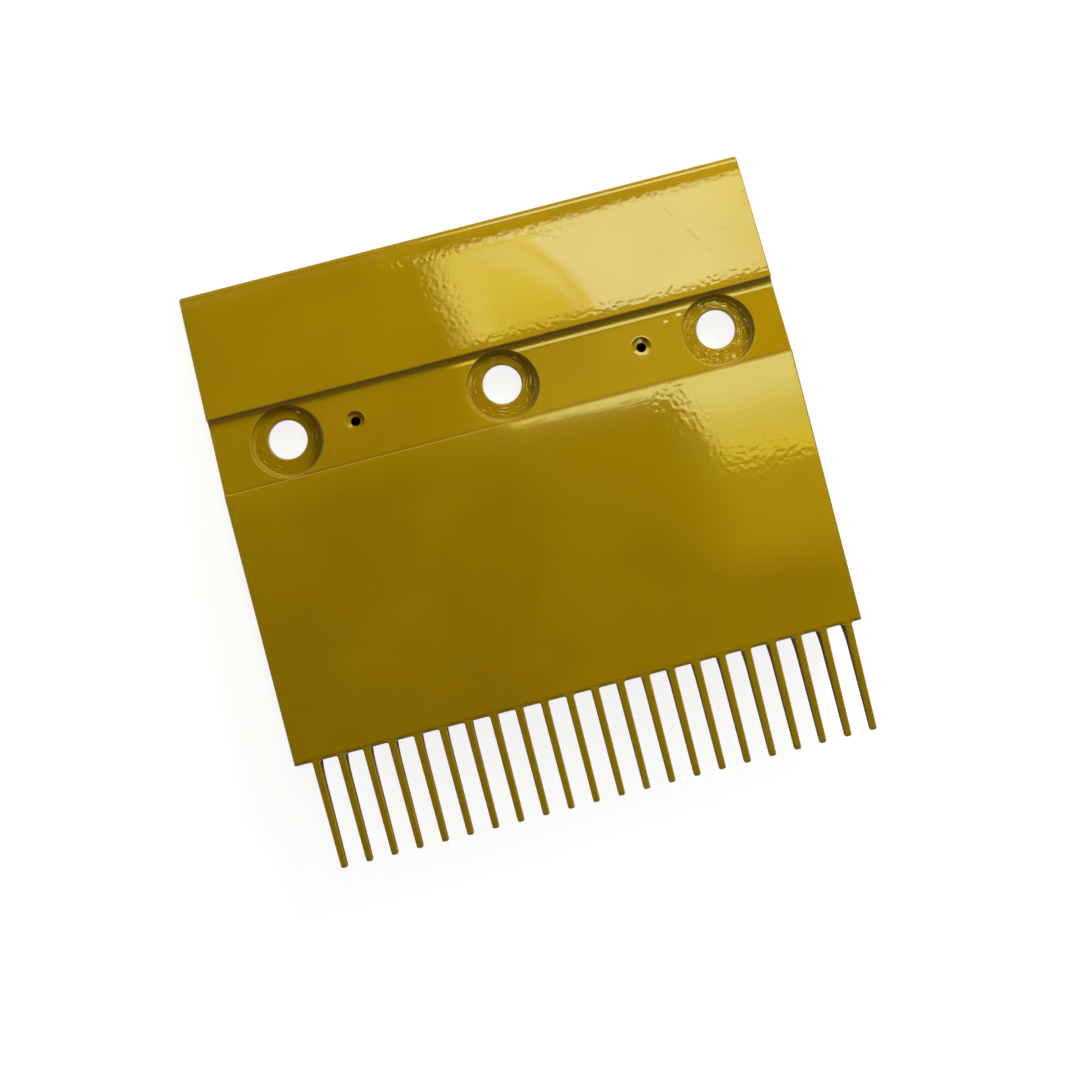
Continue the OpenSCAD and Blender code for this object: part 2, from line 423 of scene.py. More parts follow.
def counterbore_tool(rim, hole, rim_r, hole_r, seat_z, relief_z):
    """The counterbore with a rounded foot, its through hole and the relief below it, as one solid."""
    seat_r = rim_r - (floor_z(rim.y) - seat_z) * math.tan(DRAFT)
    clear_selection()
    bpy.ops.mesh.primitive_cone_add(vertices=HOLE_STEPS, depth=TOOL_H, radius1=seat_r,
                                    radius2=seat_r + TOOL_H * math.tan(DRAFT),
                                    location=(rim.x, rim.y, seat_z + TOOL_H / 2))
    tool = start_piece("counterbore_tool")
    choose(tool, "FACE", lambda middle, normal: normal.z < -0.9)
    bpy.ops.mesh.inset(thickness=seat_r - hole_r)
    bpy.ops.transform.translate(value=(hole.x - rim.x, hole.y - rim.y, 0))
    extrude((0, 0, relief_z - seat_z))
    extrude((0, 0, 0))
    bpy.ops.transform.resize(value=(RELIEF_R / hole_r, RELIEF_R / hole_r, 1),
                             center_override=(hole.x, hole.y, relief_z))
    extrude((0, 0, -relief_z - TOOL_SPARE))
    done()
    on_seat = lambda co: near(co.z, seat_z)
    bevel(tool, FOOT_ROUND, 8, both(lambda co: on_seat(co) and across(co, rim) > seat_r - SLACK))
    bevel(tool, HOLE_BEVEL, 5, both(lambda co: on_seat(co) and across(co, hole) < hole_r + SLACK))
    return tool


# %% [markdown]
# The three fixing holes let long screws clamp the plate to the frame of the escalator. Cutting them is one
# boolean each, which suits a hole that goes right through a bar better than building the bar round it. The
# radii and heights come from the mounts, so the holes stay where the CAD has them.

# %% Cut the counterbores
for side in ("left", "middle", "right"):
    hole, bore = mounts[side + "_fixing_hole"], mounts[side + "_counterbore"]
    hole_r, rim_r = hole["dims"]["r_mm"] * MM, bore["dims"]["r_mm"] * MM
    relief_z = mount_at[side + "_fixing_hole"].z
    seat_z = relief_z + hole["dims"]["length_mm"] * MM + HOLE_BEVEL
    tool = counterbore_tool(mount_at[side + "_counterbore"], mount_at[side + "_fixing_hole"],
                            rim_r, hole_r, seat_z, relief_z)
    combine(channel, tool, "DIFFERENCE")
    print(side, "counterbore cut, points:", len(channel.data.vertices))

# %% [markdown]
# The two small holes are tapped for screws that hold trim. Their mouths lie in shallow recesses, and the paint
# stands in a low bead round them, which shines on one side. The bead is a very flat cone that is added, and
# the recess and the threaded hole are one tool that is subtracted. The thread is a row of rings, every second
# one narrower.

# %% Tapped holes
RECESS_R = 3.3 * MM
RECESS_DEPTH = 1.3 * MM
FUNNEL = 0.1 * MM
BEAD_R = 4.25 * MM
BEAD_H = 0.07 * MM
BEAD_SINK = 0.03 * MM
TAPPED_DEPTH = 8 * MM
THREAD_PITCH = 0.7 * MM
THREAD_DEPTH = 0.22 * MM


def mouth_of(side):
    """The point where the axis of a tapped hole meets the channel floor."""
    inside = mount_at[side + "_tapped_hole"]
    return inside + up_slope * (floor_z(inside.y) - inside.z) * math.cos(slope)


def from_mouth(co, mouth):
    """How far a point lies above the mouth along the hole's axis, and how far off that axis."""
    rise = (co - mouth).dot(up_slope)
    return rise, (co - mouth - up_slope * rise).length


def tapped_tool(mouth, radius, depth):
    """A recess, a funnel and a threaded hole, square to the channel floor."""
    clear_selection()
    bpy.ops.mesh.primitive_cylinder_add(vertices=HOLE_STEPS // 2, radius=RECESS_R,
                                        depth=RECESS_DEPTH + TOOL_SPARE, rotation=(-slope, 0, 0),
                                        location=mouth + up_slope * (TOOL_SPARE - RECESS_DEPTH) / 2)
    tool = start_piece("tapped_tool")
    choose(tool, "FACE", lambda middle, normal: normal.dot(up_slope) < -0.9)
    bpy.ops.mesh.inset(thickness=RECESS_R - radius)
    bpy.ops.transform.translate(value=-up_slope * FUNNEL)
    rings = int((depth - RECESS_DEPTH - FUNNEL) / (THREAD_PITCH / 2))
    for ring in range(rings):
        extrude(-up_slope * THREAD_PITCH / 2)
        factor = (radius - THREAD_DEPTH) / radius
        ring_at = mouth - up_slope * (RECESS_DEPTH + FUNNEL + (ring + 1) * THREAD_PITCH / 2)
        bpy.ops.transform.resize(value=(factor if ring % 2 == 0 else 1 / factor,) * 3,
                                 center_override=ring_at)
    done()
    return tool


for side in ("left", "right"):
    thread_r = mounts[side + "_tapped_hole"]["dims"]["r_mm"] * MM
    clear_selection()
    bpy.ops.mesh.primitive_cone_add(vertices=HOLE_STEPS, radius1=BEAD_R, radius2=RECESS_R - 2 * SLACK,
                                    depth=BEAD_H + BEAD_SINK, rotation=(-slope, 0, 0),
                                    location=mouth_of(side) + up_slope * (BEAD_H - BEAD_SINK) / 2)
    combine(channel, start_piece("bead"), "UNION")
    combine(channel, tapped_tool(mouth_of(side), thread_r, TAPPED_DEPTH), "DIFFERENCE")
    print(side, "tapped hole cut, points:", len(channel.data.vertices))

# %% [markdown]
# Rounding the rims comes after all cutting, because a boolean works best on clean sharp shapes. The bead's
# outer edge is marked sharp, so that the flat floor round it isn't shaded as if it were curved.

# %% Soften the rims
RECESS_ROUND = 0.25 * MM

for side in ("left", "middle", "right"):
    centre = mount_at[side + "_counterbore"]
    wall_r = lambda z: rim_r + (z - floor_z(centre.y)) * math.tan(DRAFT)
    on_rim = lambda co: (co.z > seat_z + FOOT_ROUND + 0.2 * MM
                         and near(across(co, centre), wall_r(co.z), 0.03 * MM))
    print(side, "rim edges rounded:", bevel(channel, RIM_ROUND, 3, both(on_rim), fold=0.2))
for side in ("left", "right"):
    mouth = mouth_of(side)

    def at_recess(co):
        rise, off_axis = from_mouth(co, mouth)
        return near(off_axis, RECESS_R) and rise > -0.05 * MM

    def at_bead(co):
        rise, off_axis = from_mouth(co, mouth)
        return near(off_axis, BEAD_R, 0.4 * MM) and near(rise, 0, HAIR)

    print(side, "recess edges rounded:", bevel(channel, RECESS_ROUND, 4, both(at_recess), fold=0.2))
    print(side, "bead edges marked sharp:", keep_sharp(channel, both(at_bead)))
smooth(channel)

# %% [markdown]
# A tooth and the blade that carries it under the ramp are one piece. It starts as a thin block. Its rear face
# is extruded back under the ramp and its lower face down, which gives the side view of the blade. Two ears
# grow sideways where the tooth lies in the ramp's rounded edge. The corner between an ear and the tooth becomes
# the small fillet at the root, and the fillet flows into the ramp because both have the same edge radius. The
# first tooth is modelled and the others are copies.

# %% Outline of a tooth
tooth_low, tooth_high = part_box("tooth_01")
tooth_x = (tooth_low.x + tooth_high.x) / 2
tip_y, blade_y = tooth_low.y, tooth_high.y
ROOT_W = 2.7 * MM
TIP_W = 2.4 * MM
PRONG_H = 6.6 * MM
THROAT_R = 8.4 * MM
OVERLAP = 0.8 * MM
FLARE_R = 0.6 * MM
EAR = 0.7 * MM
TOOTH_FALL = math.radians(5)
prong_z = ramp_z - PRONG_H
root_z = prong_z - THROAT_R
back_end = front_y + OVERLAP
spare_y = tip_y - 2 * MM

tooth = block("tooth", (tooth_x - ROOT_W / 2, spare_y, prong_z), (tooth_x + ROOT_W / 2, back_end, ramp_z))
cut(tooth, (0, 0, skin_z), (0, 0, 1))
cut(tooth, (0, front_y, 0), (0, 1, 0))
push_out(tooth, (0, blade_y - back_end, 0), lambda middle, normal: normal.y > 0.9 and middle.z < skin_z)
push_out(tooth, (0, 0, root_z - prong_z), lambda middle, normal: normal.z < -0.9 and middle.y > front_y)
for y in (back_end, blade_y):
    move(tooth, (0, 0, -(y - front_y) * fall), at(y, root_z))
for way in (-1, 1):
    push_out(tooth, (way * EAR, 0, 0), lambda middle, normal: normal.x * way > 0.9
             and middle.z > skin_z and front_y < middle.y < back_end)
print("side of the blade:", len(tooth.data.vertices), "points")

# %% [markdown]
# The tooth falls and narrows to its tip, so the corners of its end are moved down and scaled in. Then the large
# throat under the root, the heel and the root fillets are bevelled, and last the long edges, which gives the
# round edge of thick paint. Small peaks that the bevel leaves at the ears are pressed back to the top. The
# block is a little too long and is cut off at the tip after that, which leaves a clean section. The root's top
# lies five thousandths of a millimetre lower than the ramp and its front as much further out, because two
# faces in one place would flicker.

# %% Taper and rounds of a tooth
HEEL_R = 3 * MM
SKIP = HAIR / 2

spare_w = ROOT_W - (ROOT_W - TIP_W) * (front_y - spare_y) / (front_y - tip_y)
from_middle = lambda co: abs(co.x - tooth_x)
move(tooth, (0, 0, -(front_y - spare_y) * math.tan(TOOTH_FALL)), at(spare_y, ramp_z))
widen(tooth, (spare_w / ROOT_W, 1, 1), (tooth_x, spare_y, 0), at(spare_y))
bevel(tooth, THROAT_R - TINY, 16, both(at(front_y, prong_z)))
heel_offset = HEEL_R * math.tan((math.pi / 2 + slope) / 2)
bevel(tooth, heel_offset, 8, both(lambda co: near(co.y, blade_y) and co.z < root_z))

at_root = lambda co: (near(co.y, front_y) and near(from_middle(co), ROOT_W / 2)
                      and co.z > skin_z - HAIR)
root_corner = lambda a, b: at_root(a) and at_root(b) and near(a.x, b.x)
print("root corners rounded:", bevel(tooth, FLARE_R, 5, root_corner))
move(tooth, (0, -SKIP, 0),
     lambda co: near(co.y, front_y) and from_middle(co) > ROOT_W / 2 + FLARE_R - HAIR)
move(tooth, (0, 0, -SKIP), lambda co: co.y > front_y - HAIR and near(co.z, ramp_z))

same_side = lambda a, b: (a.x - tooth_x) * (b.x - tooth_x) > 0
in_outline = lambda co: co.y < back_end - SLACK and co.z > skin_z + SLACK or co.z < skin_z - SLACK
at_end = lambda a, b: near(a.y, spare_y) and near(b.y, spare_y)
long_edge = lambda a, b: same_side(a, b) and in_outline(a) and in_outline(b) and not at_end(a, b)
print("long edges rounded:", bevel(tooth, EDGE_R, 5, long_edge, fold=math.radians(40)))
widen(tooth, (1, 1, 0), (0, 0, ramp_z - SKIP), lambda co: co.z > ramp_z - SKIP)
cut(tooth, (0, tip_y, 0), (0, -1, 0), clear_outer=True, fill=True)

# %% [markdown]
# The tip is a small dome. Planes cut the tooth close to its end, and each section that they leave is scaled
# towards the middle of the tooth, more the nearer it is to the end, by the height of a circle.

# %% Tip of a tooth
NOSE_R = 1.2 * MM
TIP_CORNER_R = 0.8 * MM
TIP_STEPS = 8


def drawn_in(radius, depth):
    """How far a round of this radius has come in at a depth behind its front."""
    return radius - math.sqrt(radius ** 2 - (radius - depth) ** 2) if depth < radius else 0


depths = [NOSE_R * (1 - math.cos(math.pi / 2 * step / TIP_STEPS)) for step in range(TIP_STEPS)]
for depth in depths[1:] + [NOSE_R]:
    cut(tooth, (0, tip_y + depth, 0), (0, 1, 0))
for depth in depths:
    y = tip_y + depth
    top_z = ramp_z - (front_y - y) * math.tan(TOOTH_FALL)
    half_w, half_h = TIP_W / 2, (top_z - prong_z) / 2
    factor = (1 - drawn_in(TIP_CORNER_R, depth) / half_w, 1, 1 - drawn_in(NOSE_R, depth) / half_h)
    widen(tooth, factor, (tooth_x, y, (top_z + prong_z) / 2), lambda co: near(co.y, y, 0.001 * MM))
smooth(tooth, 40)

# %% [markdown]
# The comb has 22 equal teeth on one pitch, one for each groove of the step. So the finished tooth is copied
# with its own mesh to the middle of each CAD tooth. Its place is applied, because the export reads each piece
# as if its object stood at the origin.

# %% Copies of the tooth
tooth_names = sorted(name for name in frame["nodes"] if name.startswith("tooth_"))
teeth = []
for name in tooth_names:
    low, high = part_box(name)
    copy = tooth.copy()
    copy.data = tooth.data.copy()
    copy.name = copy.data.name = name + "_painted"
    bpy.context.scene.collection.objects.link(copy)
    work_on(copy)
    bpy.ops.transform.translate(value=((low.x + high.x) / 2 - tooth_x, 0, 0))
    settle()
    teeth.append(copy)
bpy.data.objects.remove(tooth)
print(len(teeth), "teeth")

# %% [markdown]
# The finish of every surface is a small net of nodes. Written out, each node would take five lines, so one
# class adds a node in one call, and a short call each makes sums, soft noise, a soft step between two values,
# and the distance to a place or a line. The paints, the lamps and the world all use it.


# %% Helpers for nodes
class Nodes:
    """Short calls for the nodes of a material, a lamp or the world."""

    def __init__(self, tree, source, output):
        self.nodes, self.links = tree.nodes, tree.links
        self.place = self.nodes.new(source).outputs[output]

    def put(self, socket, value):
        """Links another node's output to the socket, or sets its number or colour."""
        if isinstance(value, bpy.types.NodeSocket):
            self.links.new(value, socket)
        else:
            socket.default_value = value

    def add(self, kind, inputs, **settings):
        """Adds a node with these settings and inputs, and gives its outputs."""
        node = self.nodes.new("ShaderNode" + kind)
        for name, setting in settings.items():
            setattr(node, name, setting)
        for key, value in inputs.items():
            self.put(node.inputs[key], value)
        return node.outputs

    def math(self, operation, *values, clamp=False):
        return self.add("Math", dict(enumerate(values)), operation=operation, use_clamp=clamp)[0]

    def join(self, operation, first, *others):
        """Joins any number of values by one operation, pair by pair."""
        for other in others:
            first = self.math(operation, first, other)
        return first

    def product(self, *values):
        return self.join("MULTIPLY", *values)

    def total(self, *values):
        return self.join("ADD", *values)

    def highest(self, *values):
        return self.join("MAXIMUM", *values)

    def off(self, value, middle):
        """How far a value lies from the middle, to either side."""
        return self.math("ABSOLUTE", self.math("SUBTRACT", value, middle))

    def noise(self, size, detail=2.0, place=None):
        """Soft noise whose blotches are about the given size across."""
        inputs = {"Vector": place or self.place, "Scale": 1 / size, "Detail": detail}
        return self.add("TexNoise", inputs)["Fac"]

    def cells(self, size):
        """Distance to points scattered about the given size apart, and a random value for each."""
        found = self.add("TexVoronoi", {"Vector": self.place, "Scale": 1 / size})
        return self.product(found["Distance"], size), found["Color"]

    def ramp(self, value, low, high, to_low=0.0, to_high=1.0):
        """A soft step from one number to another, between two values."""
        inputs = {"Value": value, "From Min": low, "From Max": high, "To Min": to_low, "To Max": to_high}
        return self.add("MapRange", inputs, interpolation_type="SMOOTHSTEP")["Result"]

    def mix(self, factor, a, b):
        return self.add("Mix", {"Factor": factor, "A": a, "B": b}, data_type="RGBA")["Result"]

    def vector(self, operation, a, b):
        outputs = self.add("VectorMath", {0: a, 1: b}, operation=operation)
        return outputs["Value" if operation in ("DISTANCE", "DOT_PRODUCT") else "Vector"]

    def near_place(self, place, full, none):
        """1 within the first distance of a place, and 0 beyond the second."""
        return self.ramp(self.vector("DISTANCE", self.place, place), full, none, 1, 0)

    def from_line(self, a, b):
        """Distance to the line between two places, seen from above."""
        a, b = Vector((a[0], a[1], 0)), Vector((b[0], b[1], 0))
        line = b - a
        start = self.vector("MULTIPLY", self.vector("SUBTRACT", self.place, a), (1, 1, 0))
        share = self.math("DIVIDE", self.vector("DOT_PRODUCT", start, line), line.length_squared, clamp=True)
        foot = self.add("CombineXYZ", {0: self.product(share, line.x), 1: self.product(share, line.y)})
        return self.vector("DISTANCE", start, foot[0])

    def stretched(self, angle, factor):
        """The place, drawn out by the factor along a direction seen from above."""
        inputs = {"Vector": self.place, "Rotation": (0, 0, angle), "Scale": (factor, 1, 1)}
        return self.add("Mapping", inputs, vector_type="TEXTURE")[0]

    def parts(self):
        """The three coordinates of the place."""
        return self.add("SeparateXYZ", {0: self.place})

    def seen(self):
        """1 for rays from the camera, from gloss and through glass, which show the white background."""
        path = self.add("LightPath", {})
        return self.highest(path["Is Camera Ray"], path["Is Glossy Ray"], path["Is Transmission Ray"])


# %% [markdown]
# A paint is such a set of nodes with a Principled shader and a bump node. Its places are Object coordinates,
# which stay with the piece.


# %% Helper for materials
class Paint(Nodes):
    """A material with a Principled shader."""

    def __init__(self, name):
        self.material = bpy.data.materials.new(name)
        self.material.use_nodes = True
        super().__init__(self.material.node_tree, "ShaderNodeTexCoord", "Object")
        self.shader = self.nodes["Principled BSDF"]

    def set(self, name, value):
        self.put(self.shader.inputs[name], value)

    def bump(self, height, depth):
        """Raises the surface by the height, which counts in units of the depth."""
        self.set("Normal", self.add("Bump", {"Distance": depth, "Height": height})["Normal"])


# %% [markdown]
# The paint is a glossy powder coat. Its colour is one yellow that drifts very little. What makes it look like
# paint is its surface: a fine orange peel a few millimetres wide, a slower waviness from the casting below,
# and small flaws, which are specks of dirt, bubbles and a few scratches. All of it is computed from Object
# coordinates. Every piece sits at the origin, so one pattern runs on over all pieces without a seam.

# %% Colour of the yellow paint
YELLOW = (0.300, 0.180, 0.0008, 1)
DEEP_YELLOW = (0.272, 0.158, 0.0006, 1)
# Dark colour of the specks, scratches and chips, and of the painted shade behind the ramp's step.
DIRT_AND_SHADE = (0.035, 0.022, 0.004, 1)
GLOSS = 0.035

yellow = Paint("yellow_paint")
drift = yellow.noise(45 * MM, 3)
tint = yellow.mix(yellow.ramp(drift, 0.35, 0.65), DEEP_YELLOW, YELLOW)
print("the yellow drifts between", YELLOW[:3], "and", DEEP_YELLOW[:3])

# %% [markdown]
# A comb plate that has been handled isn't clean. Specks of dirt lie in the paint, and there is a long scratch
# and two short ones on the deck. Each flaw is a mask between 0 and 1, and the masks are joined by their
# maximum. A scratch isn't a ruled line: slow noise lets it wander, and finer noise breaks it up.

# %% Specks and scratches
SPECK_GAP = 9 * MM
SPECK_CORE, SPECK_R = 0.14 * MM, 0.26 * MM
WANDER = 1.2 * MM
LONG_SCRATCH = (70.3 * MM, 46.0 * MM), (82.9 * MM, 26.1 * MM)
SHORT_SCRATCH = (21.8 * MM, 49.5 * MM), (33.6 * MM, 44.5 * MM)
FAINT_SCRATCH = (85.5 * MM, 35.5 * MM), (91.3 * MM, 31.4 * MM)
SCRATCHES = ((LONG_SCRATCH, 0.17 * MM, 0.34), (SHORT_SCRATCH, 0.30 * MM, 0.30),
             (FAINT_SCRATCH, 0.16 * MM, 0.22))

speck_distance, speck_kind = yellow.cells(SPECK_GAP)
flaws_and_shade = yellow.product(yellow.ramp(speck_distance, SPECK_CORE, SPECK_R, 1, 0),
                       yellow.ramp(speck_kind, 0.66, 0.70))
grit = yellow.ramp(yellow.noise(0.7 * MM, 2), 0.30, 0.50)
for line, width, strength in SCRATCHES:
    distance = yellow.from_line(*line)
    wander = yellow.math("MULTIPLY_ADD", yellow.noise(4 * MM, 2), WANDER, distance)
    mark = yellow.ramp(yellow.off(wander, WANDER / 2), 0.4 * width, width, strength, 0)
    near_line = yellow.ramp(distance, 1.0 * MM, 1.3 * MM, 1, 0)
    flaws_and_shade = yellow.highest(flaws_and_shade, yellow.product(mark, grit, near_line))
print("scratches on the deck:", len(SCRATCHES))

# %% [markdown]
# The right edge of the deck is chipped, and one nick lies on the channel's floor. A narrow strip of the floor
# in the corner below the ramp's rear edge is darkened as painted shade of the step. All these marks turn the
# yellow to a dark colour and take away the gloss. The gloss itself is tinted a little, because what the
# photograph's paint mirrors isn't pure white.

# %% Chips, a nick and painted shade behind the step
CHIP_ZONE = 9 * MM
NICK = (0.2 * MM, 11.2 * MM, floor_z(11.2 * MM))

x_part, y_part, z_part = yellow.parts()
edge_zone = yellow.product(yellow.ramp(x_part, right_x - CHIP_ZONE, right_x - 0.5 * MM),
                           yellow.ramp(y_part, 30 * MM, 40 * MM))
chips = yellow.math("MULTIPLY_ADD", edge_zone, 0.10, yellow.noise(1.3 * MM, 3))
chips = yellow.product(yellow.ramp(chips, 0.66, 0.74), edge_zone, 0.3)
nick = yellow.near_place(NICK, 0.35 * MM, 0.65 * MM)
# Painted shade: a dark line on the channel floor at the foot of the ramp's rear step.
corner = yellow.ramp(yellow.off(y_part, middle_y + 0.4 * MM), 0.15 * MM, 0.6 * MM, 0.24, 0)
low_enough = yellow.ramp(z_part, channel_high.z + 0.1 * MM, channel_high.z + 0.4 * MM, 1, 0)
flaws_and_shade = yellow.highest(flaws_and_shade, chips, nick, yellow.product(corner, low_enough))
# The flaws and the painted shade behind the step both turn the yellow to the dark colour here.
yellow.set("Base Color", yellow.mix(flaws_and_shade, tint, DIRT_AND_SHADE))
yellow.set("Roughness", yellow.math("MULTIPLY_ADD", flaws_and_shade, 0.4, GLOSS))
yellow.set("IOR", 1.6)
yellow.set("Specular Tint", (1.0, 0.97, 0.62, 1))
print("the gloss has a roughness of", GLOSS, "where the paint is clean")

# %% [markdown]
# Most of the coat is as level as glass, but in a few patches the mirrored lamps break up into drops: there the
# coat is thicker and has an orange peel of about 2 mm. It is strongest where the deck starts to roll down and
# weak behind the riser's lip. Elsewhere only a slow wave and fine streaks across the plate are left, and more
# of them in a rubbed area on the right of the ramp. All heights are in millimetres.

# %% Orange peel, wave and streaks
PEEL, LEVEL_PEEL = 0.013, 0.002
WAVE, STREAK = 0.012, 0.0018
PEEL_SIZE, WAVE_SIZE, STREAK_SIZE, RUBBED_SIZE = 1.7 * MM, 13 * MM, 0.9 * MM, 1.1 * MM
ROLL_PEEL, LIP_PEEL = 3.5, 0.6
DECK_PATCH = (-7 * MM, 36 * MM, on_slope(deck_y, deck_front_z, 36 * MM))
RAMP_PATCH = (80 * MM, -50 * MM, ramp_z)
BAND_END = (58 * MM, -25 * MM, ramp_z)
RUBBED = (84 * MM, -32 * MM, ramp_z)

patch = yellow.highest(yellow.near_place(DECK_PATCH, 9 * MM, 21 * MM),
                       yellow.near_place(RAMP_PATCH, 10 * MM, 28 * MM),
                       yellow.near_place(BAND_END, 6 * MM, 16 * MM))
for row_y, strength in ((roll_y - 1.5 * MM, ROLL_PEEL), (deck_y + 3.5 * MM, LIP_PEEL)):
    in_row = yellow.ramp(yellow.off(y_part, row_y), 1.5 * MM, 4 * MM, strength, 0)
    patch = yellow.highest(patch, in_row)
peel = yellow.product(yellow.noise(PEEL_SIZE, 0.5), yellow.math("MULTIPLY_ADD", patch, PEEL, LEVEL_PEEL))
wave = yellow.product(yellow.noise(WAVE_SIZE, 1), WAVE)
streaks = yellow.product(yellow.noise(STREAK_SIZE, 2, place=yellow.stretched(0, 10)), STREAK)
rubbed = yellow.noise(RUBBED_SIZE, 2, place=yellow.stretched(math.radians(22), 9))
rubbed = yellow.product(rubbed, yellow.near_place(RUBBED, 10 * MM, 26 * MM), 2 * STREAK)
print("the peel is up to", round(ROLL_PEEL * PEEL, 3), "mm high on the roll")

# %% [markdown]
# In the counterbores the rings of the cutter still show through the paint. They are a sine of the distance from
# the axis of the nearest fixing hole, bent by noise and broken up by more noise, and they count only below the
# channel's floor. Two small runs hang on that floor. Then all heights are added up and go into one bump node.

# %% Rings of the cutter and runs
RINGS, RUN = 0.035, 0.018
RING_GAP = 1.3 * MM
RUNS = (65.7 * MM, 7.2 * MM, floor_z(7.2 * MM)), (60.7 * MM, 5.9 * MM, floor_z(5.9 * MM))
pitch = mount_at["right_fixing_hole"].x

nearest = yellow.product(yellow.math("ROUND", yellow.math("DIVIDE", x_part, pitch)), pitch)
hole_x = yellow.math("SUBTRACT", x_part, nearest)
from_axis = yellow.total(yellow.product(hole_x, hole_x), yellow.product(y_part, y_part))
from_axis = yellow.math("SQRT", from_axis)
ring = yellow.math("MULTIPLY_ADD", yellow.noise(2.5 * MM, 2), 1.6 * MM, from_axis)
ring = yellow.math("SINE", yellow.product(ring, 2 * math.pi / RING_GAP))
broken = yellow.ramp(yellow.noise(2.2 * MM, 1), 0.46, 0.66)
level = yellow.math("MULTIPLY_ADD", y_part, fall, z_part)
below_floor = yellow.ramp(level, floor_z(0) - 2.6 * MM, floor_z(0) - 2.1 * MM, 1, 0)
inside = yellow.ramp(from_axis, 13.8 * MM, 14 * MM, 1, 0)
rings = yellow.product(ring, broken, RINGS, below_floor, inside)
runs = yellow.total(*(yellow.near_place(place, 0.1 * MM, 1.4 * MM) for place in RUNS))
height = yellow.total(peel, wave, streaks, rubbed, rings, yellow.product(runs, RUN))
yellow.bump(height, 1 * MM)
print("nodes of the yellow paint:", len(yellow.nodes))

# %% [markdown]
# Powder paint is drawn to outer edges and hardly gets between the teeth, so the walls of the slots have a thin,
# dull coat, a little darker than the yellow. Most of their dark colour is painted shade, standing in for the
# shade between the close teeth. The underside has a rougher coat, over the skin of the casting.

# %% Paint and painted shade in the slots, and paint under the plate
# The slot colours are a thin dull coat, darkened further as painted shade between the teeth.
SLOT_SHADE_COLOURS = (0.085, 0.050, 0.0012, 1), (0.140, 0.084, 0.0016, 1)
UNDER_COLOURS = (0.20, 0.120, 0.003, 1), (0.27, 0.160, 0.003, 1)


def dull_paint(name, colours, blotch, detail, grain, depth, roughness):
    """A coat whose colour drifts in blotches and whose skin is rough."""
    paint = Paint(name)
    drift = paint.ramp(paint.noise(blotch, detail), 0.4, 0.65)
    paint.set("Base Color", paint.mix(drift, *colours))
    paint.bump(paint.noise(grain, 3), depth)
    paint.set("Roughness", roughness)
    print("nodes of the", name + ":", len(paint.nodes))
    return paint


slot_paint_and_shade = dull_paint("thin_paint_and_shade_in_slots", SLOT_SHADE_COLOURS, 3 * MM, 3, 0.9 * MM, 0.03 * MM, 0.75)
slot_paint_and_shade.set("Specular IOR Level", 0.1)
under = dull_paint("underside_paint", UNDER_COLOURS, 12 * MM, 4, 1.1 * MM, 0.06 * MM, 0.5)

# %% [markdown]
# The threads are cut after painting, so their flanks are bare metal. They look nearly black, because little
# light gets into such a narrow hole and oil and dust have settled there. A dark, half metallic colour that
# changes from turn to turn shows this.

# %% Bare thread
THREAD_DARK, THREAD_PALE = (0.010, 0.008, 0.005, 1), (0.035, 0.030, 0.022, 1)

thread = Paint("bare_thread")
thread.set("Base Color", thread.mix(thread.noise(0.8 * MM, 2), THREAD_DARK, THREAD_PALE))
thread.set("Metallic", 0.6)
thread.set("Roughness", 0.45)
print("nodes of the bare thread:", len(thread.nodes))

# %% [markdown]
# Each new piece takes the yellow paint, and its faces that look down take the duller coat of the underside.
# Then it rides on the one body and stands for its CAD node. The walls and stiffeners below the ramp keep
# their CAD shape and take the duller coat.


# %% Finish the pieces
def paint_faces(piece, material, test):
    """Gives the faces that pass the test another material."""
    piece.data.materials.append(material)
    count = choose(piece, "FACE", test)
    piece.active_material_index = len(piece.data.materials) - 1
    bpy.ops.object.material_slot_assign()
    done()
    return count


faces_down = lambda middle, normal: normal.z < -0.9
faces_aside = lambda middle, normal: abs(normal.x) > 0.9
mouths = [mouth_of(side) for side in ("left", "right")]


def in_thread(middle, normal):
    """Below the funnel and close to the axis of a tapped hole."""
    places = [from_mouth(middle, mouth) for mouth in mouths]
    return any(rise < -RECESS_DEPTH - 0.9 * FUNNEL and off_axis < thread_r + SLACK
               for rise, off_axis in places)


top_pieces = [(ramp, "front_ramp"), (deck, "rear_deck"), (channel, "fastening_channel")]
for piece, node in top_pieces + list(zip(teeth, tooth_names)):
    piece.data.materials.append(yellow.material)
    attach(piece, "root")
    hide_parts(node)
for piece, node in top_pieces:
    print(piece.name, "faces below:", paint_faces(piece, under.material, faces_down))
for piece in teeth:
    # The side walls take the dark slot colour, which is mostly painted shade between the teeth.
    walls = paint_faces(piece, slot_paint_and_shade.material, faces_aside)
print("slot faces of the last tooth:", walls)
print("thread faces:", paint_faces(channel, thread.material, in_thread))
for node in frame["nodes"].values():
    node.data.materials.clear()
    node.data.materials.append(under.material)

# %% [markdown]
# The camera stands where the photographer's did, almost straight above the plate and turned by about 15
# degrees. Its place and lens were found by fitting the corners, edges and holes of the CAD to the photograph.

# %% Camera
FRAME_PX = 1080
FOCAL_PX = 1880.1
SENSOR = 36
CAMERA_AT = (-8.0 * MM, -52.0 * MM, 666.5 * MM)
CAMERA_TURN = (-0.19, -0.69, -14.54)

camera_data = bpy.data.cameras.new("camera")
camera_data.sensor_width = SENSOR
camera_data.lens = SENSOR * FOCAL_PX / FRAME_PX
camera = bpy.data.objects.new("camera", camera_data)
bpy.context.scene.collection.objects.link(camera)
camera.location = CAMERA_AT
camera.rotation_euler = [math.radians(turn) for turn in CAMERA_TURN]
bpy.context.scene.camera = camera
print("camera height above the seat:", round(camera.location.z / MM), "mm")

# %% [markdown]
# Gloss is what the photograph is about: two softboxes behind the plate are mirrored in it. To put a mirrored
# edge where the photograph has it, its place on the plate is followed from the camera to the surface and on to
# the height of the lamp.


